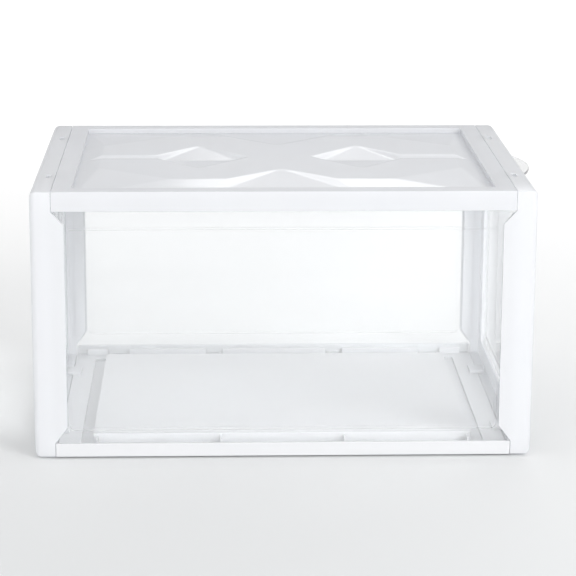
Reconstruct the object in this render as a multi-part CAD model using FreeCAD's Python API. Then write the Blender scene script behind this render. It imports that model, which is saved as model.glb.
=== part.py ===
"""A stackable shoe box of white and clear snap-together mouldings, with a drop-down door at its right end.

Millimetres. +Z is up, +X points at the door end and -Y is the front. The origin is on the surface that the
box stands on, under the middle of the box. Each sub-part goes to parts/NODE.step.
"""

import FreeCAD, Part
import math
import os

from FreeCAD import Vector

# Overall sizes
length = 360.0  # between the outer faces of the two end frames
depth = 264.0  # between the front and back faces
height = 197.0  # from the standing surface to the top border
foot_drop = 1.5  # how far the stacking foot stands below the rails

# Walls and gaps
wall = 2.4  # white mouldings
clear_wall = 1.8  # clear fixed panels
seam = 0.15  # gap where two mouldings butt
slide_gap = 0.2  # gap on each side of a panel in its groove
catch_gap = 0.3  # gap round a snap hook in its place

# End frames
stile_width = 24.0  # width of a stile, seen from the front
beam_width = 15.0  # width of the top and bottom beams
rim = 5.5  # thickness of the rim round the end rebate
side_flange = 20.0  # from the front or back face to the end opening
top_flange = 17.0  # from the top to the end opening
bottom_flange = 16.5  # from the bottom of the frame to the end opening
opening_corner = 5.0  # corner radius of the end opening
outer_round = 4.5  # rounding of the frame's outer edges
edge_round = 0.8  # rounding of the other outer edges
gusset_run = 9.0  # how far the stile narrows at its ends
top_gusset = 9.5  # height of the narrowing under the top rail
bottom_gusset = 12.0  # height of the narrowing over the bottom rail
lip_width = 8.0  # width of the inner lip that holds a side window
lip_wall = 1.6  # thickness of that lip

# Rails
top_rail = 14.2  # height of the top panel's front and back rails
bottom_rail = 9.9  # height of the bottom panel's front and back rails
top_rib = 6.6  # height of the rib behind a top rail
bottom_rib = 5.1  # height of the rib behind a bottom rail
clip_offset = 50.0  # a window clip's distance from the middle
clip_width = 9.0
clip_height = 3.5
clip_reach = 1.4  # how far a clip stands off its window
notch_width = 14.0  # gap in the ribs round a clip
break_width = 18.0  # of a second gap in the ribs
break_inset = 17.0  # from a rib's outer end to that gap

# Snap tongues between the panels and the end frames
tongue_offset = 75.0  # a tongue's distance from the middle
tongue_width = 18.0
tongue_thick = 2.2
tongue_root = 7.0  # how far a tongue's root reaches under its panel
snap_window_x = 4.0
snap_window_y = 11.0
snap_window_inset = 10.4  # from the frame's outer face to a snap window's middle
nub_height = 1.8
nub_length = 1.7  # a nub fills only the inner part of its window

# Top panel
top_recess_depth = 4.0
recess_side = 29.0  # from the box's outer end face to the recess
recess_front = 14.5  # from the front or back face to the recess
field_wall = 2.2  # thickness of the embossed field, measured upright
emboss_drop = 0.4  # the embossed field's crown lies this far below the border
end_slope_foot = 4.0  # from the recess wall to the foot of the emboss
end_slope = 12.0  # run of the emboss's slopes at the two ends
front_slope = 33.5  # run of the emboss's front and back slopes
corner_cut_x = 53.6  # size of the emboss's cut corners at the crown
corner_cut_y = 40.0
foot_cut_x = 8.0  # size of its cut corners at the foot
foot_cut_y = 6.0
notch_reach = 70.5  # length of the front and back notches
notch_mouth = 75.0  # half width of a notch at its mouth
notch_half = 52.0  # half width of its floor there
diamond_offset = 61.0  # a diamond's distance from the middle
diamond_half_x = 37.0
diamond_half_y = 44.0
diamond_tip = 8.0  # run of the steep facets at a diamond's two tips
diamond_depth = 3.2
groove_half = 6.0  # half width of the groove from a diamond to the end
groove_depth = 2.8

# Bottom panel
foot_wall = 2.0
foot_clearance = 0.6  # between a stacking foot and the recess it stands in
foot_width = 13.4  # width of the stacking foot
platform_height = 10.5  # top of the raised floor above the standing surface
floor_wall = 2.0
gusset_wall = 1.4
gusset_count = 4  # ribs that cross the front channel, and as many at the back
gusset_end = 3.0  # from the raised floor's corner to the outermost of them
gusset_drop = 1.5  # a rib's top lies this far below the raised floor
underside_rib_wall = 1.6
underside_ribs_x = 4
underside_ribs_y = 2
underside_rib_foot = 2.5  # an underside rib ends this far above the standing surface

# Front and back windows
window_step = 1.6  # how far the field of a window stands out
window_field_side = 25.8  # from the box's outer end face to the field
window_field_top = 26.3  # from the box's top to the field
window_field_bottom = 21.0  # from the standing surface to the field
field_corner = 4.0

# Door and fixed end window
door_wall = 2.0
door_setback = 3.4  # from the end face to the door's border
door_gap = 0.6  # gap round the door in its rebate
door_top_gap = 1.5  # over the door, for its swing and the pull lip
door_back_gap = 0.3  # between the closed door and the flange behind it
door_step = 1.0  # how far the field of an end panel stands out
door_field_margin = 11.0
door_corner = 3.0
hinge_outset = 0.3  # hinge axis outside the door's outer face
barrel_radius = 2.2
barrel_gap = 0.8  # between the barrel and the rim below it
pin_radius = 1.6
pin_clearance = 0.05
pin_length = 3.2
socket_depth = 3.0
lip_reach = 13.9  # how far the pull lip stands out from the door
lip_arc = 85.0  # radius of the pull lip's edge
lip_thick = 2.0
end_hook_offset = 60.0
end_hook_width = 12.0
end_hook_arm = 2.0
end_hook_barb = 1.7
barb_wall = 1.4

# Door catch: two magnets in the frame and two steel discs in the door
magnet_radius = 3.0
magnet_length = 3.0
magnet_offset = 100.0  # from the middle of the door
magnet_boss = 1.6  # wall round and behind a magnet
disc_radius = 3.5
disc_thick = 1.0
glue_gap = 0.05

# Places worked out from the sizes
half_x = length / 2
half_y = depth / 2
frame_bottom = foot_drop
stile_x = half_x - stile_width
beam_x = half_x - beam_width
panel_x = beam_x - seam
rail_inside = half_y - wall
window_outer = rail_inside - slide_gap
window_inner = window_outer - clear_wall
groove_inner = window_inner - slide_gap
rib_inner = groove_inner - lip_wall
window_x = beam_x - wall + slide_gap
door_outer = half_x - door_setback
door_inner = door_outer - door_wall
flange_outer = door_inner - door_back_gap
flange_inner = flange_outer - wall
rebate_y = half_y - rim
rebate_bottom = frame_bottom + rim
rebate_top = height - rim
opening_y = half_y - side_flange
opening_bottom = frame_bottom + bottom_flange
opening_top = height - top_flange
top_rail_bottom = height - top_rail
bottom_rail_top = frame_bottom + bottom_rail
deck_bottom = height - wall
ledge_top = frame_bottom + wall
recess_x = half_x - recess_side
recess_y = half_y - recess_front
recess_floor = height - top_recess_depth
crown = height - emboss_drop
snap_x = half_x - snap_window_inset
nub_start = snap_x - snap_window_x / 2 + catch_gap
tongue_end = nub_start + nub_length
door_y = rebate_y - door_gap
door_top = rebate_top - door_top_gap
hinge_x = door_outer + hinge_outset
hinge_height = rebate_bottom + barrel_gap + barrel_radius
margin = 2.0  # how far a cutting tool reaches past what it cuts


def block(x0, x1, y0, y1, z0, z1):
    """A box between two corners."""
    return Part.makeBox(x1 - x0, y1 - y0, z1 - z0, Vector(x0, y0, z0))


def centred_block(hx, hy, z0, z1):
    """A box of half sizes hx and hy about the Z axis."""
    return block(-hx, hx, -hy, hy, z0, z1)


def prism(points, direction):
    """A closed outline swept along a direction."""
    wire = Part.makePolygon([Vector(*p) for p in points] + [Vector(*points[0])])
    return Part.Face(wire).extrude(Vector(*direction))


def rounded_plate(x0, x1, hy, z0, z1, radius):
    """A plate across X whose four corners are rounded."""
    plate = block(x0, x1, -hy, hy, z0, z1)
    corners = [e for e in plate.Edges if abs(e.Vertexes[0].X - e.Vertexes[-1].X) > (x1 - x0) / 2]
    return plate.makeFillet(radius, corners)


def rod(x, y0, y1, z, radius):
    """A cylinder along Y."""
    return Part.makeCylinder(radius, y1 - y0, Vector(x, y0, z), Vector(0, 1, 0))


def disc(x0, x1, y, z, radius):
    """A cylinder along X."""
    return Part.makeCylinder(radius, x1 - x0, Vector(x0, y, z), Vector(1, 0, 0))


def polyhedron(corners, faces):
    """A solid with flat faces, each given as the indices of its corners."""
    made = []
    for face in faces:
        ring = [Vector(*corners[i]) for i in face]
        made.append(Part.Face(Part.makePolygon(ring + [ring[0]])))
    solid = Part.Solid(Part.Shell(made))
    if solid.Volume < 0:
        solid.reverse()
    return solid


def turned(shape):
    """The same moulding at the other end or side of the box."""
    copy = shape.copy()
    copy.rotate(Vector(0, 0, 0), Vector(0, 0, 1), 180)
    return copy


def both_sides(shape):
    """A feature and its copy mirrored from front to back."""
    return [shape, shape.mirror(Vector(0, 0, 0), Vector(0, 1, 0))]


def four_ways(shape):
    """A feature and its copies mirrored from front to back and from end to end."""
    pair = both_sides(shape)
    return pair + [s.mirror(Vector(0, 0, 0), Vector(1, 0, 0)) for s in pair]


def round_edges(shape, radius, chosen):
    """Rounds the edges whose middle point passes the test."""
    edges = [e for e in shape.Edges if chosen(e.valueAt((e.FirstParameter + e.LastParameter) / 2))]
    return shape.makeFillet(radius, edges)


def export(name, shape):
    """Writes one node after checking that its solids are sound."""
    tidy = shape.removeSplitter()
    solids = tidy.Solids
    for solid in solids:
        if not solid.isValid() or solid.Volume <= 0:
            raise ValueError(name + " has a bad solid")
    whole = solids[0] if len(solids) == 1 else Part.makeCompound(solids)
    whole.exportStep(os.path.join("parts", name + ".step"))
    print(name, len(solids), "solids", round(whole.Volume / 1000, 2), "cm3")


def stile_outline(run, x_wide, x_narrow, z0, z1):
    """Front view of a stile that narrows towards both rails."""
    low_corner = bottom_rail_top + seam + run * bottom_gusset / gusset_run
    high_corner = top_rail_bottom - seam - run * top_gusset / gusset_run
    return [
        (x_narrow, -half_y, z0),
        (half_x, -half_y, z0),
        (half_x, -half_y, z1),
        (x_narrow, -half_y, z1),
        (x_narrow, -half_y, top_rail_bottom - seam),
        (x_wide, -half_y, high_corner),
        (x_wide, -half_y, low_corner),
        (x_narrow, -half_y, bottom_rail_top + seam),
    ]


def frame_body():
    """The right end frame: a rim, four walls, an inner flange round the opening."""
    body = prism(stile_outline(gusset_run, stile_x, beam_x, frame_bottom, height), (0, depth, 0))
    body = round_edges(body, outer_round, lambda p: p.x > half_x - edge_round)
    body = round_edges(
        body,
        edge_round,
        lambda p: beam_x < p.x < half_x - outer_round - edge_round
        and abs(p.y) > half_y - edge_round
        and (p.z > height - edge_round or p.z < frame_bottom + edge_round),
    )
    inside = block(stile_x - margin, flange_inner, -rail_inside, rail_inside, ledge_top, deck_bottom)
    rebate_corner = door_corner + door_gap
    rebate = rounded_plate(flange_outer, half_x + margin, rebate_y, rebate_bottom, rebate_top, rebate_corner)
    opening = rounded_plate(
        flange_inner - margin, flange_outer + margin, opening_y, opening_bottom, opening_top, opening_corner
    )
    return body.cut(inside).cut(rebate).cut(opening)


def window_channel():
    """The web and inner lip that hold a side window's upright edge, at the front of the right frame."""
    web_x = window_x + slide_gap
    reach = lip_width * top_gusset / gusset_run
    top = top_rail_bottom - wall
    bottom = bottom_rail_top + wall + margin
    lip = prism(
        [
            (web_x + wall, -groove_inner, bottom),
            (web_x + wall, -groove_inner, top),
            (web_x, -groove_inner, top),
            (web_x - lip_width + wall, -groove_inner, top - reach),
            (web_x - lip_width + wall, -groove_inner, bottom + reach),
            (web_x, -groove_inner, bottom),
        ],
        (0, lip_wall, 0),
    )
    web = block(web_x, web_x + wall, -rail_inside, -rib_inner, bottom, top)
    return lip.fuse(web)


def snap_windows():
    """Cutters for the snap windows in the right frame's top and bottom beams."""
    cutters = []
    for z in (frame_bottom, deck_bottom):
        cutter = block(
            snap_x - snap_window_x / 2,
            snap_x + snap_window_x / 2,
            tongue_offset - snap_window_y / 2,
            tongue_offset + snap_window_y / 2,
            z - margin,
            z + wall + margin / 2,
        )
        cutters += both_sides(cutter)
    return cutters


def magnet_place():
    """Height of the magnets: midway between the opening and the rim."""
    return (opening_top + rebate_top) / 2


def magnet_pocket():
    """A magnet's boss on the back of the flange, and the pocket cut from the front."""
    z = magnet_place()
    floor = flange_outer - magnet_length - glue_gap
    boss = disc(floor - magnet_boss, flange_inner, magnet_offset, z, magnet_radius + glue_gap + magnet_boss)
    pocket = disc(floor, flange_outer + margin, magnet_offset, z, magnet_radius + glue_gap)
    return boss, pocket


def hinge_socket():
    """Cutter for the blind socket that takes a door pin."""
    return rod(hinge_x, rebate_y - margin, rebate_y + socket_depth, hinge_height, pin_radius + pin_clearance)


def end_frame(has_door):
    """The moulding at one end, made at the right end of the box."""
    frame = frame_body()
    frame = frame.fuse(both_sides(window_channel()))
    frame = frame.cut(snap_windows())
    if has_door:
        boss, pocket = magnet_pocket()
        frame = frame.fuse(both_sides(boss)).cut(both_sides(pocket))
        frame = frame.cut(both_sides(hinge_socket()))
    return frame


def rib_runs():
    """Start and end of each stretch of the rib behind a rail, from the middle outwards."""
    notch_start = clip_offset - notch_width / 2
    rib_end = stile_x - seam
    break_end = rib_end - break_inset
    return [
        (-notch_start, notch_start),
        (notch_start + notch_width, break_end - break_width),
        (break_end, rib_end),
    ]


def ribs(z0, z1):
    """The broken ribs behind the front and back rails."""
    made = []
    for start, end in rib_runs():
        run = block(start, end, -groove_inner, -rib_inner, z0, z1)
        made += both_sides(run)
        if start > 0:
            made += both_sides(run.mirror(Vector(0, 0, 0), Vector(1, 0, 0)))
    return made


def rail(z0, z1, rounded_above):
    """The front rail of a panel, with one long outer edge rounded."""
    made = block(-panel_x, panel_x, -half_y, -rail_inside, z0, z1)
    edge_z = z1 if rounded_above else z0
    return round_edges(
        made, edge_round, lambda p: abs(p.x) < margin and p.y < -half_y + seam and abs(p.z - edge_z) < seam
    )


def tongue(thin_side, nub_side, joined):
    """A tongue at the right end of a panel, lying between two heights, with its nub on one side."""
    low, high = sorted((thin_side, thin_side + math.copysign(tongue_thick, thin_side - nub_side)))
    start, end = tongue_offset - tongue_width / 2, tongue_offset + tongue_width / 2
    arm = block(panel_x - tongue_root, tongue_end, start, end, low, high)
    low, high = sorted((joined, thin_side))
    root = block(panel_x - tongue_root, panel_x, start, end, low, high)
    low, high = sorted((thin_side, nub_side))
    nub = block(
        nub_start,
        tongue_end,
        tongue_offset - snap_window_y / 2 + catch_gap,
        tongue_offset + snap_window_y / 2 - catch_gap,
        low,
        high,
    )
    return arm.fuse([root, nub])


def upper_prism(points, z):
    """The space above a flat outline, so that a cutter passes the surface that it cuts."""
    return prism([(x, y, z) for x, y in points], (0, 0, margin))


def emboss_block(z_shift):
    """The solid under the embossed surface, moved up or down by z_shift."""
    foot_x, foot_y = recess_x - end_slope_foot, recess_y
    top_x, top_y = foot_x - end_slope, foot_y - front_slope
    crown_outline = octagon(top_x, top_y, corner_cut_x, corner_cut_y)
    foot_outline = octagon(foot_x, foot_y, foot_cut_x, foot_cut_y)
    base = centred_block(recess_x + seam, recess_y + seam, recess_floor - 3 * top_recess_depth, recess_floor)
    hill = Part.makeLoft([ring_at(foot_outline, recess_floor), ring_at(crown_outline, crown)], True, True)
    shape = base.fuse(hill).cut(four_ways(diamond_half()) + four_ways(groove()) + both_sides(front_notch()))
    shape.translate(Vector(0, 0, z_shift))
    return shape


def octagon(hx, hy, cut_x, cut_y):
    """Corners of a rectangle of half sizes hx and hy, with cut corners."""
    x, y = hx - cut_x, hy - cut_y
    return [(-x, -hy), (x, -hy), (hx, -y), (hx, y), (x, hy), (-x, hy), (-hx, y), (-hx, -y)]


def ring_at(outline, z):
    """A closed wire through an outline's corners at one height."""
    points = [Vector(x, y, z) for x, y in outline]
    return Part.makePolygon(points + [points[0]])


def diamond_half():
    """Cutter for the front half of the right diamond: one long gentle facet and a steep one at each tip."""
    left, right = diamond_offset - diamond_half_x, diamond_offset + diamond_half_x
    low = crown - diamond_depth
    corners = [
        (left, 0, crown),
        (right, 0, crown),
        (diamond_offset, -diamond_half_y, crown),
        (left + diamond_tip, 0, low),
        (right - diamond_tip, 0, low),
    ]
    pit = polyhedron(corners, [(0, 1, 2), (3, 2, 4), (0, 2, 3), (1, 4, 2), (0, 3, 4, 1)])
    return pit.fuse(upper_prism([c[:2] for c in corners[:3]], crown))


def groove():
    """Cutter for the front half of the groove between the right diamond and the end of the emboss."""
    start, end = diamond_offset + diamond_half_x - diamond_tip, recess_x - end_slope_foot
    section = [(start, 0, crown - groove_depth), (start, -groove_half, crown), (start, 0, crown)]
    cut = prism(section, (end - start, 0, 0))
    return cut.fuse(upper_prism([(start, 0), (start, -groove_half), (end, -groove_half), (end, 0)], crown))


def front_notch():
    """Cutter for the front notch: a floor that falls from its tip to the recess, between two steep walls."""
    tip_y = notch_reach - recess_y
    run = notch_reach + margin
    back = tip_y - run
    fall = (crown - recess_floor) * run / notch_reach
    mouth_half = notch_mouth * run / notch_reach
    floor_half = notch_half * run / notch_reach
    corners = [
        (0, tip_y, crown),
        (-mouth_half, back, crown),
        (mouth_half, back, crown),
        (-floor_half, back, crown - fall),
        (floor_half, back, crown - fall),
    ]
    pit = polyhedron(corners, [(0, 1, 2), (0, 3, 4), (0, 1, 3), (0, 2, 4), (1, 3, 4, 2)])
    return pit.fuse(upper_prism([c[:2] for c in corners[:3]], crown))


def top_panel():
    """The deck with its embossed field, rails, ribs and four snap tongues."""
    deck = centred_block(panel_x, half_y, deck_bottom, height)
    deck = round_edges(
        deck, edge_round, lambda p: abs(p.y) > half_y - seam and p.z > height - seam and abs(p.x) < margin
    )
    well = centred_block(recess_x + wall, recess_y + wall, recess_floor - field_wall, height - wall / 2)
    hole = centred_block(recess_x, recess_y, recess_floor - top_rail, height + margin)
    field = emboss_block(0).cut(emboss_block(-field_wall))
    front_rail = rail(top_rail_bottom, height - edge_round, False)
    made = deck.fuse(well).cut(hole).fuse(field)
    made = made.fuse(both_sides(front_rail) + ribs(deck_bottom - top_rib, deck_bottom))
    arm_top = deck_bottom - seam
    return made.fuse(four_ways(tongue(arm_top, arm_top + nub_height, deck_bottom)))


def bottom_panel():
    """The floor with its raised middle, stacking foot, rails, ribs and four snap tongues."""
    foot_x, foot_y = recess_x - foot_clearance, recess_y - foot_clearance
    platform_x, platform_y = foot_x - foot_width + foot_wall, foot_y - foot_width + foot_wall
    made = centred_block(panel_x, half_y, frame_bottom, ledge_top)
    made = made.fuse(centred_block(foot_x, foot_y, 0, ledge_top))
    made = made.cut(centred_block(foot_x - foot_wall, foot_y - foot_wall, foot_wall, platform_height))
    made = made.fuse(centred_block(platform_x, platform_y, 0, platform_height))
    under_x, under_y = platform_x - foot_wall, platform_y - foot_wall
    made = made.cut(centred_block(under_x, under_y, -margin, platform_height - floor_wall))
    front_rail = rail(frame_bottom, bottom_rail_top, True)
    made = made.fuse(both_sides(front_rail) + ribs(ledge_top, ledge_top + bottom_rib))
    first = gusset_end - platform_x
    pitch = -2 * first / (gusset_count - 1)
    for i in range(gusset_count):
        x = first + i * pitch
        rib = block(
            x - gusset_wall / 2,
            x + gusset_wall / 2,
            -foot_y + foot_wall / 2,
            -platform_y + foot_wall / 2,
            foot_wall / 2,
            platform_height - gusset_drop,
        )
        made = made.fuse(both_sides(rib))
    made = made.fuse(underside_ribs(under_x, under_y))
    arm_bottom = ledge_top + seam
    return made.fuse(four_ways(tongue(arm_bottom, arm_bottom - nub_height, ledge_top)))


def underside_ribs(hx, hy):
    """Stiffening ribs under the raised floor, clear of the standing surface."""
    z0, z1 = underside_rib_foot, platform_height - floor_wall / 2
    half = underside_rib_wall / 2
    made = []
    for i in range(underside_ribs_x):
        x = hx * (2 * (i + 1) / (underside_ribs_x + 1) - 1)
        made.append(block(x - half, x + half, -hy - half, hy + half, z0, z1))
    for i in range(underside_ribs_y):
        y = hy * (2 * (i + 1) / (underside_ribs_y + 1) - 1)
        made.append(block(-hx - half, hx + half, y - half, y + half, z0, z1))
    return made


def side_window():
    """The front window: a border held in the grooves, a field that stands out, and four clips."""
    z0, z1 = ledge_top + catch_gap, deck_bottom - wall
    field_x = half_x - window_field_side
    field_z0, field_z1 = window_field_bottom, height - window_field_top
    border = block(-window_x, window_x, -window_outer, -window_inner, z0, z1)
    field_y = -window_outer - window_step
    outer = field_plate(field_x, field_y, -window_inner, field_z0, field_z1, field_corner)
    pocket = field_plate(
        field_x - clear_wall,
        field_y + clear_wall,
        -window_inner + margin,
        field_z0 + clear_wall,
        field_z1 - clear_wall,
        field_corner - clear_wall,
    )
    made = border.fuse(outer).cut(pocket)
    for x in (-clip_offset, clip_offset):
        for low in (ledge_top + bottom_rib - clip_height, deck_bottom - top_rib):
            clip = block(
                x - clip_width / 2,
                x + clip_width / 2,
                -window_inner,
                -window_inner + clip_reach,
                low,
                low + clip_height,
            )
            made = made.fuse(clip)
    return made


def field_plate(hx, y0, y1, z0, z1, radius):
    """A plate across Y with rounded corners."""
    plate = block(-hx, hx, y0, y1, z0, z1)
    corners = [e for e in plate.Edges if abs(e.Vertexes[0].Y - e.Vertexes[-1].Y) > (y1 - y0) / 2]
    return plate.makeFillet(radius, corners)


def end_panel(bottom, top, thick):
    """A clear panel in the rebate of the right frame, with a field that stands out."""
    inner = door_outer - thick
    border = rounded_plate(inner, door_outer, door_y, bottom, top, door_corner)
    near, far = door_field_margin, door_field_margin + thick
    field_face = door_outer + door_step
    field = rounded_plate(inner, field_face, door_y - near, bottom + near, top - near, field_corner)
    pocket = rounded_plate(
        inner - margin, inner + door_step, door_y - far, bottom + far, top - far, field_corner - thick / 2
    )
    return border.fuse(field).cut(pocket)


def pull_lip():
    """The arc-edged lip along the door's top edge."""
    tip = door_outer + lip_reach
    z = door_top - lip_thick
    centre = Vector(tip - lip_arc, 0, z)
    round_plate = Part.makeCylinder(lip_arc, lip_thick, centre)
    round_plate.rotate(centre, Vector(0, 0, 1), 180)
    reach = block(door_outer - door_wall / 2, tip + margin, -lip_arc, lip_arc, z, door_top)
    plate = round_plate.common(reach)
    return round_edges(plate, lip_thick / 3, lambda p: p.x > tip - lip_thick and abs(p.y) < margin)


def door():
    """The clear drop-down door with its barrel, two pins, pull lip and pockets for the steel discs."""
    made = end_panel(hinge_height, door_top, door_wall)
    square = block(door_inner, door_outer, -door_y, door_y, hinge_height, hinge_height + 2 * door_corner)
    barrel_end = door_y - door_corner - door_gap
    barrel = rod(hinge_x, -barrel_end, barrel_end, hinge_height, barrel_radius)
    pins = rod(hinge_x, -door_y - pin_length, door_y + pin_length, hinge_height, pin_radius)
    made = made.fuse([square, barrel, pins, pull_lip()])
    pocket_floor = door_inner + disc_thick + glue_gap
    pocket = disc(door_inner - margin, pocket_floor, magnet_offset, magnet_place(), disc_radius + glue_gap)
    return made.cut(both_sides(pocket))


def end_window():
    """The fixed clear panel at the left end, with four hooks behind the flange."""
    bottom, top = rebate_bottom + door_gap, rebate_top - door_gap
    made = end_panel(bottom, top, clear_wall)
    hook_end = flange_inner - catch_gap - barb_wall
    for z, away in ((opening_top, -1), (opening_bottom, 1)):
        near, far = z + away * catch_gap, z + away * (catch_gap + end_hook_arm)
        low, high = sorted((near, far))
        start, end = end_hook_offset - end_hook_width / 2, end_hook_offset + end_hook_width / 2
        arm = block(hook_end, door_outer - clear_wall, start, end, low, high)
        low, high = sorted((near, near - away * end_hook_barb))
        barb = block(hook_end, hook_end + barb_wall, start, end, low, high)
        made = made.fuse(both_sides(arm.fuse(barb)))
    return turned(made)


def frame_magnets():
    """Two magnets in the right frame."""
    magnet = disc(flange_outer - magnet_length, flange_outer, magnet_offset, magnet_place(), magnet_radius)
    return Part.makeCompound(both_sides(magnet))


def door_discs():
    """Two steel discs in the back of the door."""
    plate = disc(door_inner, door_inner + disc_thick, magnet_offset, magnet_place(), disc_radius)
    return Part.makeCompound(both_sides(plate))


def main():
    os.makedirs("parts", exist_ok=True)
    export("right_end_frame", end_frame(True))
    export("left_end_frame", turned(end_frame(False)))
    export("top_panel", top_panel())
    export("bottom_panel", bottom_panel())
    front = side_window()
    export("front_window", front)
    export("back_window", turned(front))
    export("left_end_window", end_window())
    export("door", door())
    export("frame_magnets", frame_magnets())
    export("door_discs", door_discs())


main()
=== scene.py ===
import math

import bmesh
import bpy
import numpy as np
from mathutils import Matrix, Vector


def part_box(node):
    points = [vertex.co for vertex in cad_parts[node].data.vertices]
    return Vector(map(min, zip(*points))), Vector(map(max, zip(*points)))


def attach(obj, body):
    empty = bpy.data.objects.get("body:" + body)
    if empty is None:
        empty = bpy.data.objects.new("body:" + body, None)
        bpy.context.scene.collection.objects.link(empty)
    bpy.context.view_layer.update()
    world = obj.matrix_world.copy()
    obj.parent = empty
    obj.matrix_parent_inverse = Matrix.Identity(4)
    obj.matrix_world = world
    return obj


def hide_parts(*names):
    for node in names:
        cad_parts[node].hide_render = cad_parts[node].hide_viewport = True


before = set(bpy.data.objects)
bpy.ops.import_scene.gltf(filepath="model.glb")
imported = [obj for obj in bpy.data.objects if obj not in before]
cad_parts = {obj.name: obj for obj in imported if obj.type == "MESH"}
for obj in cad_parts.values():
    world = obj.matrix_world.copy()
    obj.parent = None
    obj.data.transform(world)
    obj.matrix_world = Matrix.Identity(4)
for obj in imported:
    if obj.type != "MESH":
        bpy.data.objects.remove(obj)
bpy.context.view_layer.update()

mm = 0.001  # lengths below are in millimetres, and meshes are in metres
weldDistance = 0.0005  # corners nearer to each other than this are one
flatAngle = 0.3  # degrees under which two neighbouring faces are one
arrisAngle = 32  # degrees past which an edge is rounded
print("frame loaded:", len(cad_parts), "nodes")


def boxOf(node):
    # lowest and highest corner of a CAD node in millimetres, rounded past the mesh's own rounding
    low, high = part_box(node)
    return np.round(np.array(low) / mm, 2), np.round(np.array(high) / mm, 2)


def meshObject(name, points, faces):
    # points in millimetres as an (n, 3) array, faces as rows of vertex numbers
    mesh = bpy.data.meshes.new(name)
    mesh.from_pydata((np.asarray(points) * mm).tolist(), [], [list(f) for f in faces])
    mesh.update()
    piece = bpy.data.objects.new(name, mesh)
    bpy.context.scene.collection.objects.link(piece)
    return piece


def joinShapes(shapes):
    # several (points, faces) shapes as one, with the later ones' vertex numbers moved up
    points, faces, start = [], [], 0
    for shapePoints, shapeFaces in shapes:
        points.append(shapePoints)
        faces += [tuple(int(v) + start for v in f) for f in shapeFaces]
        start += len(shapePoints)
    return np.vstack(points), faces


def gridFaces(rows, columns, closeRows, closeColumns):
    # quads between neighbouring rows and columns of a grid whose vertices are numbered row by row
    r = np.arange(rows if closeRows else rows - 1)
    c = np.arange(columns if closeColumns else columns - 1)
    r, c = np.meshgrid(r, c, indexing="ij")
    nextR, nextC = (r + 1) % rows, (c + 1) % columns
    corners = [r * columns + c, r * columns + nextC, nextR * columns + nextC, nextR * columns + c]
    return np.stack(corners, -1).reshape(-1, 4)


def blockShape(steps):
    # Each step fills or empties the box between two corners, in order. The planes of all the boxes cut
    # space into cells. A cell side with plastic on one side only becomes a quad that faces the empty side.
    planes = [np.unique(np.round([s[k][a] for s in steps for k in (1, 2)], 4)) for a in range(3)]
    solid = np.zeros([len(p) + 1 for p in planes], bool)
    for keep, low, high in steps:
        start = [int(np.searchsorted(planes[a], round(low[a], 4))) + 1 for a in range(3)]
        end = [int(np.searchsorted(planes[a], round(high[a], 4))) + 1 for a in range(3)]
        solid[start[0]:end[0], start[1]:end[1], start[2]:end[2]] = keep
    size = [len(p) for p in planes]
    number = np.arange(size[0] * size[1] * size[2]).reshape(size)
    quads = []
    for a in range(3):
        b, c = (a + 1) % 3, (a + 2) % 3
        turned = np.transpose(solid, (a, b, c))[:, 1:-1, 1:-1]
        lattice = np.transpose(number, (a, b, c))
        corners = [lattice[:, :-1, :-1], lattice[:, 1:, :-1], lattice[:, 1:, 1:], lattice[:, :-1, 1:]]
        sides = np.stack(corners, -1)
        quads.append(sides[turned[:-1] & ~turned[1:]])
        quads.append(sides[~turned[:-1] & turned[1:]][:, ::-1])
    quads = np.vstack(quads)
    used, quads = np.unique(quads, return_inverse=True)
    index = np.unravel_index(used, size)
    points = np.stack([planes[a][index[a]] for a in range(3)], 1)
    return points, quads.reshape(-1, 4)


def bothSides(steps):
    # the same blocks mirrored from front to back
    made = []
    for keep, low, high in steps:
        made.append((keep, low, high))
        made.append((keep, (low[0], -high[1], low[2]), (high[0], -low[1], high[2])))
    return made


def bothEnds(steps):
    # the same blocks mirrored from end to end
    made = []
    for keep, low, high in steps:
        made.append((keep, low, high))
        made.append((keep, (-high[0], low[1], low[2]), (-low[0], high[1], high[2])))
    return made


def weld(form):
    bmesh.ops.remove_doubles(form, verts=form.verts, dist=weldDistance * mm)


def joinFlats(form):
    # flat neighbours become one face, so that only real edges are left to round
    limit = math.radians(flatAngle)
    bmesh.ops.dissolve_limit(form, angle_limit=limit, verts=form.verts, edges=form.edges)


def splitWideFaces(form):
    # faces with many corners become triangles, so that rounding their edges can't fold them over
    wide = [f for f in form.faces if len(f.verts) > 4]
    bmesh.ops.triangulate(form, faces=wide, quad_method="BEAUTY", ngon_method="BEAUTY")


def pointOutwards(form):
    bmesh.ops.recalc_face_normals(form, faces=form.faces)


def editMesh(piece, *steps):
    # carries out the steps above on a piece's mesh, in the order given
    form = bmesh.new()
    form.from_mesh(piece.data)
    for step in steps:
        step(form)
    form.to_mesh(piece.data)
    form.free()


def roundEdges(piece, width, segments=3):
    # smooth shading with rounded arrises, as a steel mould leaves them
    piece.data.polygons.foreach_set("use_smooth", [True] * len(piece.data.polygons))
    piece.data.set_sharp_from_angle(angle=math.radians(arrisAngle))
    bevel = piece.modifiers.new("arris", "BEVEL")
    bevel.width = width * mm
    bevel.segments = segments
    bevel.limit_method = "ANGLE"
    bevel.angle_limit = math.radians(arrisAngle)
    bevel.harden_normals = True
    bevel.miter_outer = "MITER_ARC"


def finishPiece(piece, body, material, nodes):
    # gives a piece its material, the body it rides on and the CAD nodes it stands for
    piece.data.materials.clear()
    piece.data.materials.append(material)
    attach(piece, body)
    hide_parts(*nodes)


def newMaterial(name):
    # the new material, its nodes, its shader, and the place on the object in metres
    material = bpy.data.materials.new(name)
    material.use_nodes = True
    tree = material.node_tree
    shader = tree.nodes["Principled BSDF"]
    place = tree.nodes.new("ShaderNodeTexCoord")
    return material, tree, shader, place.outputs["Object"]


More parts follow.
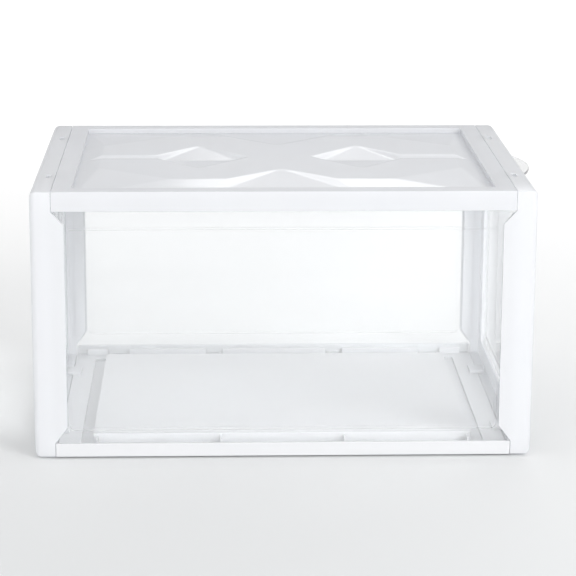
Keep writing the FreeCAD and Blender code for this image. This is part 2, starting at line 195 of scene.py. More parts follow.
def noiseOn(tree, place, size, detail=2.0, stretch=(1, 1, 1)):
    # noise whose grains are about size millimetres across, drawn out along the axes by stretch
    spread = tree.nodes.new("ShaderNodeMapping")
    spread.inputs["Scale"].default_value = [1 / s for s in stretch]
    tree.links.new(place, spread.inputs["Vector"])
    noise = tree.nodes.new("ShaderNodeTexNoise")
    noise.inputs["Scale"].default_value = 1 / (size * mm)
    noise.inputs["Detail"].default_value = detail
    tree.links.new(spread.outputs["Vector"], noise.inputs["Vector"])
    return noise.outputs["Fac"]


def rangeOf(tree, value, low, high, fromLow=0.35, fromHigh=0.65):
    # carries a spread of values, as noise has it if no other is given, to the spread from low to high
    change = tree.nodes.new("ShaderNodeMapRange")
    change.inputs["From Min"].default_value = fromLow
    change.inputs["From Max"].default_value = fromHigh
    change.inputs["To Min"].default_value = low
    change.inputs["To Max"].default_value = high
    tree.links.new(value, change.inputs["Value"])
    return change.outputs["Result"]


def mixColour(tree, share, first, second):
    # the first colour where the share is 0 and the second where it is 1
    mix = tree.nodes.new("ShaderNodeMix")
    mix.data_type = "RGBA"
    mix.inputs["A"].default_value = (*first, 1)
    mix.inputs["B"].default_value = (*second, 1)
    tree.links.new(share, mix.inputs["Factor"])
    return mix.outputs["Result"]


def bumpOn(tree, shader, heights):
    # heights is a list of (value, millimetres) that are laid over one another
    normal = None
    for value, depth in heights:
        bump = tree.nodes.new("ShaderNodeBump")
        bump.inputs["Distance"].default_value = depth * mm
        tree.links.new(value, bump.inputs["Height"])
        if normal is not None:
            tree.links.new(normal, bump.inputs["Normal"])
        normal = bump.outputs["Normal"]
    tree.links.new(normal, shader.inputs["Normal"])


whiteMoulding = {
    "tone": (0.905, 0.912, 0.932),
    "paleTone": (0.915, 0.92, 0.935),
    "cloudSize": 90.0,
    "gloss": (0.15, 0.17),
    "glossPatch": 25.0,
    "grainSize": 0.5,
    "grainDepth": 0.0015,
    "flowSize": 40.0,
    "flowDepth": 0.012,
    "bending": 1.49,
    "through": 0.38,  # the share of light that passes into the wall and lights its other side
    "throughTone": (0.91, 0.92, 0.94),
}


def whitePlastic(name, sizes):
    # milky plastic off a polished mould: a faint grain, slow flow waves and some light that passes through
    material, tree, shader, place = newMaterial(name)
    clouds = noiseOn(tree, place, sizes["cloudSize"], detail=3.0)
    colour = mixColour(tree, rangeOf(tree, clouds, 0, 1), sizes["tone"], sizes["paleTone"])
    tree.links.new(colour, shader.inputs["Base Color"])
    patches = noiseOn(tree, place, sizes["glossPatch"], detail=4.0)
    tree.links.new(rangeOf(tree, patches, *sizes["gloss"]), shader.inputs["Roughness"])
    grain = noiseOn(tree, place, sizes["grainSize"], detail=2.0)
    flow = noiseOn(tree, place, sizes["flowSize"], detail=1.0)
    bumpOn(tree, shader, [(flow, sizes["flowDepth"]), (grain, sizes["grainDepth"])])
    shader.inputs["IOR"].default_value = sizes["bending"]
    passed = tree.nodes.new("ShaderNodeBsdfTranslucent")
    passed.inputs["Color"].default_value = (*sizes["throughTone"], 1)
    blend = tree.nodes.new("ShaderNodeMixShader")
    blend.inputs["Fac"].default_value = sizes["through"]
    tree.links.new(shader.outputs["BSDF"], blend.inputs[1])
    tree.links.new(passed.outputs["BSDF"], blend.inputs[2])
    tree.links.new(blend.outputs["Shader"], tree.nodes["Material Output"].inputs["Surface"])
    return material


clearSheet = {
    "tint": (0.968, 0.974, 0.978),
    "clearness": 0.9,
    "bending": 1.3,  # below the resin's own, because its real steps are softer than the model's
    "haze": (0.015, 0.04),
    "hazeSize": 40.0,
    "waveSize": 35.0,
    "waveDepth": 0.006,
    "hairSize": 1.2,
    "hairStretch": (14, 14, 1),
    "hairDepth": 0.0008,
    "lampTint": (0.98, 0.985, 0.987),
}


def clearPlastic(name, sizes):
    # Clear polystyrene with slow waves from the mould and faint hairlines. Lamps shine straight through it,
    # weakened by lampTint at each face.
    material, tree, shader, place = newMaterial(name)
    shader.inputs["Base Color"].default_value = (*sizes["tint"], 1)
    shader.inputs["Transmission Weight"].default_value = sizes["clearness"]
    shader.inputs["IOR"].default_value = sizes["bending"]
    patches = noiseOn(tree, place, sizes["hazeSize"], detail=3.0)
    tree.links.new(rangeOf(tree, patches, *sizes["haze"]), shader.inputs["Roughness"])
    waves = noiseOn(tree, place, sizes["waveSize"], detail=1.0)
    hairs = noiseOn(tree, place, sizes["hairSize"], detail=1.0, stretch=sizes["hairStretch"])
    bumpOn(tree, shader, [(waves, sizes["waveDepth"]), (hairs, sizes["hairDepth"])])
    lampPath = tree.nodes.new("ShaderNodeLightPath")
    lampGoesOn = tree.nodes.new("ShaderNodeBsdfTransparent")
    lampGoesOn.inputs["Color"].default_value = (*sizes["lampTint"], 1)
    choose = tree.nodes.new("ShaderNodeMixShader")
    tree.links.new(lampPath.outputs["Is Shadow Ray"], choose.inputs["Fac"])
    tree.links.new(shader.outputs["BSDF"], choose.inputs[1])
    tree.links.new(lampGoesOn.outputs["BSDF"], choose.inputs[2])
    tree.links.new(choose.outputs["Shader"], tree.nodes["Material Output"].inputs["Surface"])
    return material


metals = {
    "nickelPlate": {"tone": (0.66, 0.65, 0.62), "gloss": (0.18, 0.3), "lineSize": 0.3},
    "dullSteel": {"tone": (0.56, 0.57, 0.58), "gloss": (0.3, 0.45), "lineSize": 0.4},
}
metalFinish = {
    "cloudSize": 2.0,
    "darker": 0.85,  # the share of the tone that is left where it is darkest
    "lineStretch": (1, 20, 1),
    "lineDepth": 0.01,
}


def metal(name, sizes):
    # turned or rolled metal: fine lines and a slightly uneven shine
    material, tree, shader, place = newMaterial(name)
    shader.inputs["Metallic"].default_value = 1.0
    clouds = noiseOn(tree, place, metalFinish["cloudSize"], detail=2.0)
    darker = tuple(t * metalFinish["darker"] for t in sizes["tone"])
    colour = mixColour(tree, rangeOf(tree, clouds, 0, 1), darker, sizes["tone"])
    tree.links.new(colour, shader.inputs["Base Color"])
    lines = noiseOn(tree, place, sizes["lineSize"], detail=2.0, stretch=metalFinish["lineStretch"])
    tree.links.new(rangeOf(tree, lines, *sizes["gloss"]), shader.inputs["Roughness"])
    bumpOn(tree, shader, [(lines, metalFinish["lineDepth"])])
    return material


topMoulding = {**whiteMoulding, "through": 0.42}
floorMoulding = {
    **whiteMoulding,
    "tone": (0.77, 0.778, 0.795),
    "paleTone": (0.78, 0.785, 0.80),
    "through": 0.1,
}
frameWhite = whitePlastic("frameWhite", whiteMoulding)
topWhite = whitePlastic("topWhite", topMoulding)
floorWhite = whitePlastic("floorWhite", floorMoulding)
clearStyrene = clearPlastic("clearStyrene", clearSheet)
nickelPlate = metal("nickelPlate", metals["nickelPlate"])
dullSteel = metal("dullSteel", metals["dullSteel"])
print("materials made")


endFrame = {
    "wall": 2.4,
    "rim": 5.5,
    "outerRound": 4.5,
    "beam": 15.0,
    "stile": 24.0,
    "rebate": 5.7,  # from the end face to the flange round the opening
    "openingSide": 20.0,
    "openingBottom": 16.5,
    "openingTop": 17.0,
    "openingCorner": 5.0,
    "rebateCorner": 3.6,
    "outerCorner": 0.8,
    "cornerGrowth": 0.5,  # how much a corner's radius grows with each millimetre of the outer round
    "innerCorner": 0.2,
    "lowGusset": (10.05, 22.05),  # heights over the frame's lowest edge between which the stile widens
    "highGusset": (14.35, 23.85),  # the same below its highest edge
    "snapWindow": (8.4, 12.4),  # from the end face
    "snapSpan": (69.5, 80.5),  # from the middle plane
    "arris": 0.35,
    "roundSteps": 6,
    "cornerSteps": 5,
}


def roundedRectangle(low, high, radius, sidesY, sidesZ, steps):
    # A rectangle in Y and Z with its corners as arcs, counterclockwise seen from +X. sidesY are stops along
    # its level sides and sidesZ along its upright ones, so that all rings have the same number of points.
    angle = np.linspace(0, np.pi / 2, steps + 1)
    corners = [(high[0], low[1]), (high[0], high[1]), (low[0], high[1]), (low[0], low[1])]
    arcs = []
    for turn, (y, z) in enumerate(corners):
        centreY = y - radius if y == high[0] else y + radius
        centreZ = z + radius if z == low[1] else z - radius
        swing = angle + (turn - 1) * np.pi / 2
        arcs.append(np.stack([centreY + radius * np.cos(swing), centreZ + radius * np.sin(swing)], 1))
    up = np.stack([np.full(len(sidesZ), high[0]), np.sort(sidesZ)], 1)
    down = np.stack([np.full(len(sidesZ), low[0]), np.sort(sidesZ)[::-1]], 1)
    back = np.stack([np.sort(sidesY)[::-1], np.full(len(sidesY), high[1])], 1)
    forth = np.stack([np.sort(sidesY), np.full(len(sidesY), low[1])], 1)
    return np.vstack([arcs[0], up, arcs[1], back, arcs[2], down, arcs[3], forth])


def frameShell(sizes, low, high):
    # The section of the rim, wall and flange is carried round the rectangle of the end. The wall's free
    # edge follows the stile's outline: beam width near the rails, stile width between the gussets.
    endX, lowZ, highZ, halfY = high[0], low[2], high[2], high[1]
    stops = [lowZ + sizes["lowGusset"][0], lowZ + sizes["lowGusset"][1],
             highZ - sizes["highGusset"][1], highZ - sizes["highGusset"][0]]
    wide, narrow = endX - sizes["stile"], endX - sizes["beam"]
    near, far = sizes["snapSpan"]
    snapStops = [-far, -near, near, far]

    def ring(x, inset, radius, free=False):
        side, below, above = inset if isinstance(inset, tuple) else (inset,) * 3
        bottom, top = lowZ + below, highZ - above
        kept = np.clip(stops, bottom + radius, top - radius)  # none may fall inside a corner
        corners = (side - halfY, bottom), (halfY - side, top)
        plan = roundedRectangle(*corners, radius, snapStops, kept, sizes["cornerSteps"])
        across = np.full(len(plan), x)
        if free:
            across = np.interp(plan[:, 1], stops, [narrow, wide, wide, narrow])
        return np.column_stack([across, plan])

    flange = endX - sizes["rebate"]
    wall, rim, big = sizes["wall"], sizes["rim"], sizes["outerRound"]
    opening = (sizes["openingSide"], sizes["openingBottom"], sizes["openingTop"])
    snapIn, snapOut = endX - sizes["snapWindow"][1], endX - sizes["snapWindow"][0]
    outer, inner = sizes["outerCorner"], sizes["innerCorner"]
    rebateRound, openRound = sizes["rebateCorner"], sizes["openingCorner"]
    rings = [ring(0, 0, outer, True)]
    rings += [ring(x, 0, outer) for x in (snapIn, snapOut)]
    for swing in np.linspace(0, np.pi / 2, sizes["roundSteps"] + 1):
        inset = big * (1 - math.cos(swing))
        depth = big * (1 - math.sin(swing))
        rings.append(ring(endX - depth, inset, outer + inset * sizes["cornerGrowth"]))
    rings += [ring(endX, rim, rebateRound), ring(flange, rim, rebateRound)]
    rings += [ring(x, opening, openRound) for x in (flange, flange - wall)]
    rings += [ring(x, wall, inner) for x in (flange - wall, snapOut, snapIn)]
    rings.append(ring(0, wall, inner, True))
    points = np.array(rings)
    rows, columns = points.shape[:2]
    quads = gridFaces(rows, columns, True, True).reshape(rows, columns, 4)
    return points, quads, snapStops


def openSnapWindows(points, quads, snapStops):
    # Takes the quads of the four snap windows out of both skins of the level beams and walls up the sides
    # of each hole. Those quads start at the second ring in the outer skin and at the third ring from the
    # end in the inner one.
    rows, columns = points.shape[:2]
    y = points[0, :, 1]
    outerRow, innerRow = 1, rows - 3
    keep = np.ones((rows, columns), bool)
    walls = []
    level = np.isin(np.round(y, 3), np.round(snapStops, 3))
    for column in np.flatnonzero(level):
        after = (column + 1) % columns
        span = {round(float(abs(y[k])), 3) for k in (column, after)}
        if not level[after] or len(span) < 2:
            continue
        keep[outerRow, column] = keep[innerRow, column] = False
        first, second = outerRow * columns, (outerRow + 1) * columns
        outside = [first + column, first + after, second + after, second + column]
        first, second = (innerRow + 1) * columns, innerRow * columns
        inside = [first + column, first + after, second + after, second + column]
        for k in range(4):
            n = (k + 1) % 4
            walls.append((outside[k], outside[n], inside[n], inside[k]))
    return points.reshape(-1, 3), [tuple(q) for q in quads[keep]] + walls


seam = 0.45  # the gap where a panel butts against a frame
panelEnd = boxOf("right_end_frame")[1][0] - endFrame["beam"] - seam
windowChannel = {
    "web": (163.0, 165.4),
    "lipStart": 157.4,
    "lipY": (125.8, 127.4),
    "webY": 129.7,
    "reach": 8.44,
    "height": (15.8, 180.4),
    "overlap": 0.4,  # how far the web goes into the lip
}


def channelShape(sizes, side):
    # The web and the chamfered lip that hold a side window's upright edge. Each is an outline in X and Z
    # that is given depth in Y.
    webIn, webOut = sizes["web"]
    start, reach = sizes["lipStart"], sizes["reach"]
    bottom, top = sizes["height"]
    lip = [(webOut, bottom), (webOut, top), (webIn, top),
           (start, top - reach), (start, bottom + reach), (webIn, bottom)]
    web = [(webOut, bottom), (webOut, top), (webIn, top), (webIn, bottom)]
    webDepths = (sizes["lipY"][1] - sizes["overlap"], sizes["webY"])
    shapes = []
    for outline, depths in ((lip, sizes["lipY"]), (web, webDepths)):
        flat = np.array(outline)
        n = len(flat)
        ends = [np.column_stack([flat[:, 0], np.full(n, side * d), flat[:, 1]]) for d in depths]
        faces = [(k, (k + 1) % n, n + (k + 1) % n, n + k) for k in range(n)]
        faces += [tuple(range(n))[::-1], tuple(range(n, 2 * n))]
        shapes.append((np.vstack(ends), faces if side > 0 else [f[::-1] for f in faces]))
    return joinShapes(shapes)


def lathe(profile, centre, steps=32):
    # a profile of (radius, x) pairs turned about a line along X, with a flat face at each end
    swing = np.linspace(0, 2 * np.pi, steps, endpoint=False)
    radius, x = np.array(profile).T
    ringsX = centre[0] + np.repeat(x[:, None], steps, 1)
    ringsY = centre[1] + radius[:, None] * np.cos(swing)
    ringsZ = centre[2] + radius[:, None] * np.sin(swing)
    points = np.stack([ringsX, ringsY, ringsZ], -1).reshape(-1, 3)
    faces = [tuple(f) for f in gridFaces(len(profile), steps, False, True)]
    last = (len(profile) - 1) * steps
    faces += [tuple(range(steps))[::-1], tuple(range(last, last + steps))]
    return points, faces


magnetBoss = {"radius": 4.65, "start": 169.65, "end": 172.5, "y": 100.0, "edge": 0.5}
magnetPocket = {"radius": 3.05, "depth": 2.3, "steps": 24}


def bossShape(sizes, side, z):
    # the round boss behind the flange, with its free rim rounded
    r, a, b, edge = sizes["radius"], sizes["start"], sizes["end"], sizes["edge"]
    profile = [(r - edge, a), (r - edge * 0.3, a + edge * 0.3), (r, a + edge), (r, b)]
    return lathe(profile, (0, side * sizes["y"], z))


def sinkPocket(sizes, points, faces, y, z):
    # Puts a round blind pocket into the face of the flange that holds the point (y, z). Each side of that
    # face and its share of the circle get a face between them. A wall and a floor follow the circle inwards.
    flange = boxOf("right_end_frame")[1][0] - endFrame["rebate"]

    def holdsPoint(face):
        inX, inY, inZ = points[list(face)].T
        within = inY.min() < y < inY.max() and inZ.min() < z < inZ.max()
        return within and np.allclose(inX, flange)

    number = next(k for k, face in enumerate(faces) if holdsPoint(face))
    face = faces[number]
    steps, start, wholeTurn = sizes["steps"], len(points), 2 * np.pi
    corners = points[list(face)]
    bearing = np.arctan2(corners[:, 2] - z, corners[:, 1] - y)
    turn = 1 if (bearing[1] - bearing[0]) % wholeTurn < np.pi else -1
    swing = bearing[0] + turn * np.arange(steps) * wholeTurn / steps
    circle = np.stack([np.cos(swing), np.sin(swing)], 1) * sizes["radius"] + [y, z]
    rings = [np.column_stack([np.full(steps, x), circle]) for x in (flange, flange - sizes["depth"])]
    share = turn * (bearing - bearing[0]) % wholeTurn / wholeTurn
    near = [0] + [int(round(part * steps)) for part in share[1:]] + [steps]
    made = faces[:number] + faces[number + 1:]
    for k in range(4):
        arc = [start + n % steps for n in range(near[k + 1], near[k] - 1, -1)]
        made.append((face[k], face[(k + 1) % 4], *arc))
    for n in range(steps):
        after = (n + 1) % steps
        made.append((start + n, start + after, start + steps + after, start + steps + n))
    made.append(tuple(range(start + steps, start + 2 * steps)))
    return np.vstack([points, *rings]), made


def makeEndFrame(name, node, hasDoor, turn):
    # turn is 1 for the right frame and -1 for the left one, which is half a turn round
    shell = openSnapWindows(*frameShell(endFrame, *boxOf("right_end_frame")))
    others = [channelShape(windowChannel, side) for side in (-1, 1)]
    if hasDoor:
        low, high = boxOf("frame_magnets")
        magnetZ = (low[2] + high[2]) / 2
        for side in (-1, 1):
            shell = sinkPocket(magnetPocket, *shell, side * magnetBoss["y"], magnetZ)
        others += [bossShape(magnetBoss, side, magnetZ) for side in (-1, 1)]
    points, faces = joinShapes([shell] + others)
    piece = meshObject(name, points * [turn, turn, 1], faces)
    editMesh(piece, weld, pointOutwards)
    roundEdges(piece, endFrame["arris"])
    finishPiece(piece, "box", frameWhite, [node])


makeEndFrame("rightFrameMoulding", "right_end_frame", True, 1)
makeEndFrame("leftFrameMoulding", "left_end_frame", False, -1)
print("end frames made")


tongue = {
    "x": (157.85, 169.6),
    "y": (66.0, 84.0),
    "gap": 0.15,  # between the arm and the panel's face
    "thick": 2.2,
    "rootDepth": 0.5,  # how far the root goes into the panel
    "rootGap": 0.2,  # how far it stays from the panel's end
    "nubX": (167.9, 169.6),
    "nubY": (69.8, 80.2),
    "nubHeight": 1.8,
}


def tongueShapes(sizes, endX, faceZ, away):
    # The four snap tongues of a panel: an arm that lies off its face, away being 1 for above and -1 for
    # below, a root that joins it to the panel, and a nub that reaches back into the frame's snap window.
    near = faceZ + away * sizes["gap"]
    far = near + away * sizes["thick"]
    rootX = (sizes["x"][0], endX - sizes["rootGap"])
    blocks = [
        (sizes["x"], sizes["y"], near, far),
        (rootX, sizes["y"], faceZ - away * sizes["rootDepth"], far),
        (sizes["nubX"], sizes["nubY"], near, near - away * sizes["nubHeight"]),
    ]
    steps = [(True, (x[0], y[0], min(a, b)), (x[1], y[1], max(a, b))) for x, y, a, b in blocks]
    points, faces = blockShape(steps)
    shapes = []
    for side in (-1, 1):
        for end in (-1, 1):
            shapes.append((points * [end, side, 1], faces if side * end > 0 else faces[:, ::-1]))
    return shapes


topPanel = {
    "deck": 2.4,
    "recess": (151.0, 117.5),  # half sizes
    "recessDepth": 4.0,
    "fieldWall": 2.2,
    "railWall": 2.4,
    "ribY": (125.8, 127.4),
    "ribHeight": 6.6,
    "ribRuns": [(0.0, 43.0), (57.0, 120.85), (138.85, 155.85)],
    "arris": 0.4,
}

emboss = {
    "crownDrop": 0.4,
    "footX": 147.0,
    "endSlope": 12.0,
    "frontSlope": 33.5,
    "cornerCut": (53.6, 40.0),
    "cornerRun": 61.3,
    "notchReach": 70.5,
    "notchMouth": 75.0,
    "notchHalf": 52.0,
    "diamondX": 61.0,
    "diamondHalf": (37.0, 44.0),
    "diamondTip": 8.0,
    "diamondDepth": 3.2,
    "grooveHalf": 6.0,
    "grooveDepth": 2.8,
    "cell": 1.5,
    "finer": 3,  # the height is worked out this many times finer than the cells, then averaged
    "edge": 1.0,  # how far the field reaches into the wall round it
    "crease": 50.0,  # degrees past which an edge of the field is sharp
}


def embossHeight(sizes, x, y, crown, floor):
    # The height at each point is the lowest of several surfaces: the level crown, the slopes at the ends,
    # the front and back and the corners, the two pointed notches, the two diamonds, which are deepest along
    # their middle lines, and the grooves from the diamonds to the ends. None goes below the floor.
    ax, ay = np.abs(x), np.abs(y)
    rise = crown - floor
    halfY = topPanel["recess"][1]
    ends = floor + rise * (sizes["footX"] - ax) / sizes["endSlope"]
    fronts = floor + rise * (halfY - ay) / sizes["frontSlope"]
    cutX, cutY = sizes["cornerCut"]
    length = math.hypot(cutX, cutY)
    crownX, crownY = sizes["footX"] - sizes["endSlope"], halfY - sizes["frontSlope"] - cutY
    beyond = ((ax - crownX) * cutY + (ay - crownY) * cutX) / length
    corners = crown - rise * beyond / sizes["cornerRun"]
    past = ay - (halfY - sizes["notchReach"])  # how far past the notch's tip
    reach, mouth = sizes["notchReach"], sizes["notchMouth"]
    wall = (past * mouth / reach - ax) * reach / (mouth - sizes["notchHalf"])
    notch = crown - rise / reach * np.maximum(np.minimum(past, wall), 0)
    dx = np.abs(ax - sizes["diamondX"]) / sizes["diamondHalf"][0]
    dy = ay / sizes["diamondHalf"][1]
    tip = sizes["diamondTip"] / sizes["diamondHalf"][0]
    diamond = crown - sizes["diamondDepth"] * np.clip(np.minimum(1 - dy, (1 - dx - dy) / tip), 0, 1)
    grooveStart = sizes["diamondX"] + sizes["diamondHalf"][0] - sizes["diamondTip"]
    inGroove = np.where(ax > grooveStart, np.clip(1 - ay / sizes["grooveHalf"], 0, 1), 0)
    groove = crown - sizes["grooveDepth"] * inGroove
    lowest = np.minimum.reduce([np.full_like(x, crown), ends, fronts, corners, notch, diamond, groove])
    return np.maximum(lowest, floor)


def fieldShape(sizes, crown, floor, wall):
    # The embossed field as a closed sheet: a grid of heights on top, the same grid a wall's thickness
    # below, and a rim round both.
    halfX, halfY = (half + sizes["edge"] for half in topPanel["recess"])
    countX, countY = int(2 * halfX / sizes["cell"]), int(2 * halfY / sizes["cell"])
    n = sizes["finer"]
    fineX = (np.arange(countX * n) + 0.5) / (countX * n) * 2 * halfX - halfX
    fineY = (np.arange(countY * n) + 0.5) / (countY * n) * 2 * halfY - halfY
    fx, fy = np.meshgrid(fineX, fineY, indexing="ij")
    height = embossHeight(sizes, fx, fy, crown, floor)
    height = height.reshape(countX, n, countY, n).mean((1, 3))
    x = fineX.reshape(countX, n).mean(1)
    y = fineY.reshape(countY, n).mean(1)
    gx, gy = np.meshgrid(x, y, indexing="ij")
    top = np.stack([gx, gy, height], -1).reshape(-1, 3)
    bottom = top - [0, 0, wall]
    over = gridFaces(countX, countY, False, False)[:, ::-1]
    under = over[:, ::-1] + len(top)
    number = np.arange(countX * countY).reshape(countX, countY)
    rim = np.concatenate([number[:, 0], number[-1, 1:], number[-2::-1, -1], number[0, -2:0:-1]])
    after = np.roll(rim, -1)
    sides = np.stack([rim, rim + len(top), after + len(top), after], 1)
    return np.vstack([top, bottom]), [tuple(f) for f in np.vstack([over, under, sides])]


def makeTopPanel():
    # a deck with a well for the field, and rails and ribs below it at the front and back
    low, high = boxOf("top_panel")
    endX, halfY, crownZ, railLow = panelEnd, high[1], high[2], low[2]
    size = topPanel
    deckLow = crownZ - size["deck"]
    floor = crownZ - size["recessDepth"]
    recessX, recessY = size["recess"]
    well = (recessX + size["railWall"], recessY + size["railWall"])
    inside = halfY - size["railWall"]
    steps = [
        (True, (-endX, -halfY, deckLow), (endX, halfY, crownZ)),
        (True, (-well[0], -well[1], floor - size["fieldWall"]), (well[0], well[1], deckLow)),
        (False, (-recessX, -recessY, floor - size["fieldWall"]), (recessX, recessY, crownZ)),
    ]
    steps += bothSides([(True, (-endX, -halfY, railLow), (endX, -inside, deckLow))])
    ribY = size["ribY"]
    for start, end in size["ribRuns"]:
        rib = (True, (start, -ribY[1], deckLow - size["ribHeight"]), (end, -ribY[0], deckLow))
        steps += bothSides(bothEnds([rib]))
    shapes = [blockShape(steps)]
    shapes += tongueShapes(tongue, endX, deckLow, -1)
    piece = meshObject("topPanelMoulding", *joinShapes(shapes))
    editMesh(piece, weld, joinFlats)
    roundEdges(piece, size["arris"])
    finishPiece(piece, "box", topWhite, ["top_panel"])
    sheet = fieldShape(emboss, crownZ - emboss["crownDrop"], floor, size["fieldWall"])
    field = meshObject("topPanelField", *sheet)
    field.data.polygons.foreach_set("use_smooth", [True] * len(field.data.polygons))
    field.data.set_sharp_from_angle(angle=math.radians(emboss["crease"]))
    finishPiece(field, "box", topWhite, ["top_panel"])


makeTopPanel()
print("top panel made")


bottomPanel = {
    "plate": 2.4,
    "drop": 1.5,  # the foot stands this far below the rails
    "foot": (150.4, 116.9),
    "footWidth": 13.4,
    "skin": 2.0,
    "railWall": 2.4,
    "platform": 10.5,
    "ribY": (125.8, 127.4),
    "ribHeight": 5.1,
    "ribRuns": [(0.0, 43.0), (57.0, 120.85), (138.85, 155.85)],
    "gussets": 4,
    "gussetEnd": 3.0,
    "gussetWall": 1.4,
    "gussetDrop": 1.5,
    "stiffenersX": 4,
    "stiffenersY": 2,
    "stiffenerWall": 1.6,
    "stiffenerFoot": 2.5,
    "arris": 0.4,
}


def makeBottomPanel():
    # A plate with the foot's channel pressed down in it round a raised floor. The floor is hollow below,
    # where stiffeners cross, and gussets stand in the front and back of the channel.
    endX, (halfY, railTop) = panelEnd, boxOf("bottom_panel")[1][1:]
    size = bottomPanel
    under, plateTop, skin = size["drop"], size["drop"] + size["plate"], size["skin"]
    footX, footY = size["foot"]
    floorX, floorY = (half - size["footWidth"] + skin for half in size["foot"])
    hollowX, hollowY = floorX - skin, floorY - skin
    inside = halfY - size["railWall"]
    floorTop = size["platform"]
    steps = [
        (True, (-endX, -halfY, under), (endX, halfY, plateTop)),
        (True, (-footX, -footY, 0), (footX, footY, plateTop)),
        (False, (skin - footX, skin - footY, skin), (footX - skin, footY - skin, floorTop)),
        (True, (-floorX, -floorY, 0), (floorX, floorY, floorTop)),
        (False, (-hollowX, -hollowY, 0), (hollowX, hollowY, floorTop - skin)),
    ]
    steps += bothSides([(True, (-endX, -halfY, under), (endX, -inside, railTop))])
    (ribIn, ribOut), ribTop = size["ribY"], plateTop + size["ribHeight"]
    for start, end in size["ribRuns"]:
        steps += bothSides(bothEnds([(True, (start, -ribOut, plateTop), (end, -ribIn, ribTop))]))
    half, gussetTop = size["gussetWall"] / 2, floorTop - size["gussetDrop"]
    for x in np.linspace(size["gussetEnd"] - floorX, floorX - size["gussetEnd"], size["gussets"]):
        steps += bothSides([(True, (x - half, -footY + skin, skin), (x + half, -floorY, gussetTop))])
    half, below, above = size["stiffenerWall"] / 2, size["stiffenerFoot"], floorTop - skin
    for x in np.linspace(-hollowX, hollowX, size["stiffenersX"] + 2)[1:-1]:
        steps.append((True, (x - half, -hollowY, below), (x + half, hollowY, above)))
    for y in np.linspace(-hollowY, hollowY, size["stiffenersY"] + 2)[1:-1]:
        steps.append((True, (-hollowX, y - half, below), (hollowX, y + half, above)))
    shapes = [blockShape(steps)] + tongueShapes(tongue, endX, plateTop, 1)
    piece = meshObject("bottomPanelMoulding", *joinShapes(shapes))
    editMesh(piece, weld, joinFlats)
    roundEdges(piece, size["arris"])
    finishPiece(piece, "box", floorWhite, ["bottom_panel"])


makeBottomPanel()
print("bottom panel made")


clearPieces = {
    "frontWindowSheet": ("front_window", "box"),
    "backWindowSheet": ("back_window", "box"),
    "leftEndSheet": ("left_end_window", "box"),
    "doorSheet": ("door", "door"),
}
clearArris = {"width": 0.25, "segments": 2, "straight": 0.9999}


def makeClearPiece(name, node, body):
    # A welded copy of the CAD sheet with its arrises rounded, so that its edges catch the light. Its level
    # and upright faces are shaded flat, so that they don't bend what is seen through them. Its round ones
    # are smooth.
    piece = bpy.data.objects.new(name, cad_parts[node].data.copy())
    bpy.context.scene.collection.objects.link(piece)
    imported = piece.data.attributes.get("custom_normal")
    if imported is not None:
        piece.data.attributes.remove(imported)
    editMesh(piece, weld, joinFlats)
    editMesh(piece, splitWideFaces)
    roundEdges(piece, clearArris["width"], clearArris["segments"])
    piece.modifiers["arris"].harden_normals = False
    curved = [max(abs(c) for c in f.normal) < clearArris["straight"] for f in piece.data.polygons]
    piece.data.polygons.foreach_set("use_smooth", curved)
    finishPiece(piece, body, clearStyrene, [node])


for name, (node, body) in clearPieces.items():
    makeClearPiece(name, node, body)
print("clear sheets made")


coins = {
    "catchMagnets": {"node": "frame_magnets", "body": "box", "slot": "magnet", "edge": 0.3},
    "catchDiscs": {"node": "door_discs", "body": "door", "slot": "steel", "edge": 0.15},
}
coinSteps = 48


def makeCoins(name, sizes, material):
    # a pair of turned discs along X with chamfered rims
    low, high = boxOf(sizes["node"])
    r = (high[2] - low[2]) / 2
    a, b, edge = low[0], high[0], sizes["edge"]
    profile = [(r - edge, a), (r, a + edge), (r, b - edge), (r - edge, b)]
    centreZ = (low[2] + high[2]) / 2
    shapes = [lathe(profile, (0, side * (high[1] - r), centreZ), coinSteps) for side in (-1, 1)]
    piece = meshObject(name, *joinShapes(shapes))
    editMesh(piece, pointOutwards)
    finishPiece(piece, sizes["body"], material, [sizes["node"]])


makeCoins("catchMagnets", coins["catchMagnets"], nickelPlate)
makeCoins("catchDiscs", coins["catchDiscs"], dullSteel)
print("catch made")


stage = {
    "floorTone": (0.755, 0.765, 0.77),
    # painted light: the paper's tone far from the front, lighter than near it
    "paintedFarTone": (0.90, 0.90, 0.90),
    "front": -3000.0,
    "far": 3500.0,
    "halfWidth": 3500.0,
    "paintedLightDepths": (-350.0, 1000.0),  # depths between which the floor takes its far tone and a glow: painted light, lighter towards the back
    "glow": 0.16,
    "paintedGlowDepths": (900.0, 2600.0),  # depths between which it takes farGlow as well, more painted light to meet the white room
    "farGlow": 0.25,
    "roughness": 0.7,
    "shine": 0.2,
}


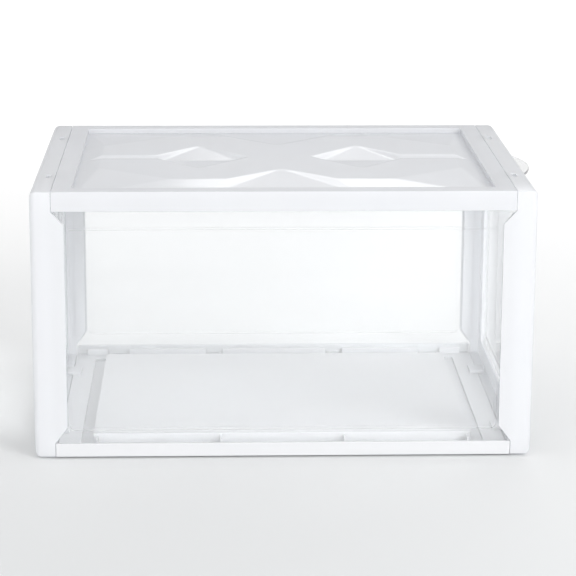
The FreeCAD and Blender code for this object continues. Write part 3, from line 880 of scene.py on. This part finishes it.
def makeStage(sizes):
    # one level sheet with painted light: its colour grows lighter away from the front, and it glows there
    # though it is no lamp
    y = np.array([sizes["front"], 0.0, sizes["far"]])
    x = np.array([-sizes["halfWidth"], 0.0, sizes["halfWidth"]])
    gx, gy = np.meshgrid(x, y, indexing="ij")
    points = np.stack([gx, gy, np.zeros_like(gx)], -1).reshape(-1, 3)
    floor = meshObject("studioFloor", points, gridFaces(len(x), len(y), False, False)[:, ::-1])
    material, tree, shader, place = newMaterial("studioPaper")
    split = tree.nodes.new("ShaderNodeSeparateXYZ")
    tree.links.new(place, split.inputs["Vector"])
    # painted light: the colour lightens from floorTone to the far tone between these depths
    start, end = sizes["paintedLightDepths"][0] * mm, sizes["paintedLightDepths"][1] * mm
    share = rangeOf(tree, split.outputs["Y"], 0, 1, start, end)
    colour = mixColour(tree, share, sizes["floorTone"], sizes["paintedFarTone"])
    tree.links.new(colour, shader.inputs["Base Color"])
    shader.inputs["Roughness"].default_value = sizes["roughness"]
    shader.inputs["Specular IOR Level"].default_value = sizes["shine"]
    shader.inputs["Emission Color"].default_value = (1, 1, 1, 1)
    # painted light: the floor glows though it is no lamp, more towards the back
    glow = rangeOf(tree, split.outputs["Y"], 0, sizes["glow"], start, end)
    start, end = sizes["paintedGlowDepths"][0] * mm, sizes["paintedGlowDepths"][1] * mm
    farGlow = rangeOf(tree, split.outputs["Y"], 0, sizes["farGlow"], start, end)
    total = tree.nodes.new("ShaderNodeMath")
    tree.links.new(glow, total.inputs[0])
    tree.links.new(farGlow, total.inputs[1])
    tree.links.new(total.outputs["Value"], shader.inputs["Emission Strength"])
    floor.data.materials.append(material)


lamps = {  # places and sizes in metres, power in watts
    "rightKey": {"place": (1.25, -1.5, 1.0), "target": (0, 0, 0.1), "size": (0.9, 0.8), "power": 17},
    "frontFill": {"place": (-0.5, -2.4, 0.6), "target": (0, 0, 0.1), "size": (2.0, 0.9), "power": 17.5},
    "backSweep": {"place": (0.75, 1.7, 1.25), "target": (0, 0, 0.2), "size": (1.9, 0.6), "power": 9},
    "leftSide": {"place": (-1.1, -0.3, 0.9), "target": (-0.1, 0, 0.15), "size": (0.8, 0.8), "power": 1.5},
}
room = {"tone": (1.0, 1.0, 1.0), "strength": 0.72}


def softLamp(name, sizes):
    # a level-edged area lamp that faces its target
    lamp = bpy.data.lights.new(name, "AREA")
    lamp.shape = "RECTANGLE"
    lamp.size, lamp.size_y = sizes["size"]
    lamp.energy = sizes["power"]
    holder = bpy.data.objects.new(name, lamp)
    bpy.context.scene.collection.objects.link(holder)
    place = sizes["place"]
    away = np.array(place, float) - np.array(sizes["target"], float)
    away /= np.linalg.norm(away)
    side = np.cross([0, 0, 1], away)
    side /= np.linalg.norm(side)
    up = np.cross(away, side)
    rows = [[side[i], up[i], away[i], place[i]] for i in range(3)]
    holder.matrix_world = Matrix(rows + [[0, 0, 0, 1]])


def makeRoom(sizes):
    world = bpy.data.worlds.new("softRoom")
    bpy.context.scene.world = world
    world.use_nodes = True
    background = world.node_tree.nodes["Background"]
    background.inputs["Color"].default_value = (*sizes["tone"], 1)
    background.inputs["Strength"].default_value = sizes["strength"]
    bpy.context.scene.view_settings.view_transform = "Standard"


cameraSetting = {
    "place": (-49.75, -1655.2, 517.2),
    "yaw": 0.034376,
    "pitch": 0.250670,
    "roll": 0.0043546,
    "lens": 138.13,
    "sensor": 36.0,
    "farClip": 20,  # metres
}


def makeCamera(sizes):
    # looks along +Y, turned by yaw to the right, by pitch down and by roll about its own line of sight
    yaw, pitch, roll = sizes["yaw"], sizes["pitch"], sizes["roll"]
    ahead = np.array([math.sin(yaw) * math.cos(pitch), math.cos(yaw) * math.cos(pitch), -math.sin(pitch)])
    right = np.cross(ahead, [0, 0, 1])
    right /= np.linalg.norm(right)
    up = np.cross(right, ahead)
    side = math.cos(roll) * right + math.sin(roll) * up
    top = -math.sin(roll) * right + math.cos(roll) * up
    lens = bpy.data.cameras.new("studioCamera")
    lens.sensor_width = sizes["sensor"]
    lens.lens = sizes["lens"]
    lens.clip_end = sizes["farClip"]
    camera = bpy.data.objects.new("studioCamera", lens)
    bpy.context.scene.collection.objects.link(camera)
    place = np.array(sizes["place"]) * mm
    rows = [[side[i], top[i], -ahead[i], place[i]] for i in range(3)]
    camera.matrix_world = Matrix(rows + [[0, 0, 0, 1]])
    bpy.context.scene.camera = camera


makeStage(stage)
for name, sizes in lamps.items():
    softLamp(name, sizes)
makeRoom(room)
makeCamera(cameraSetting)
print("stage, light and camera set")
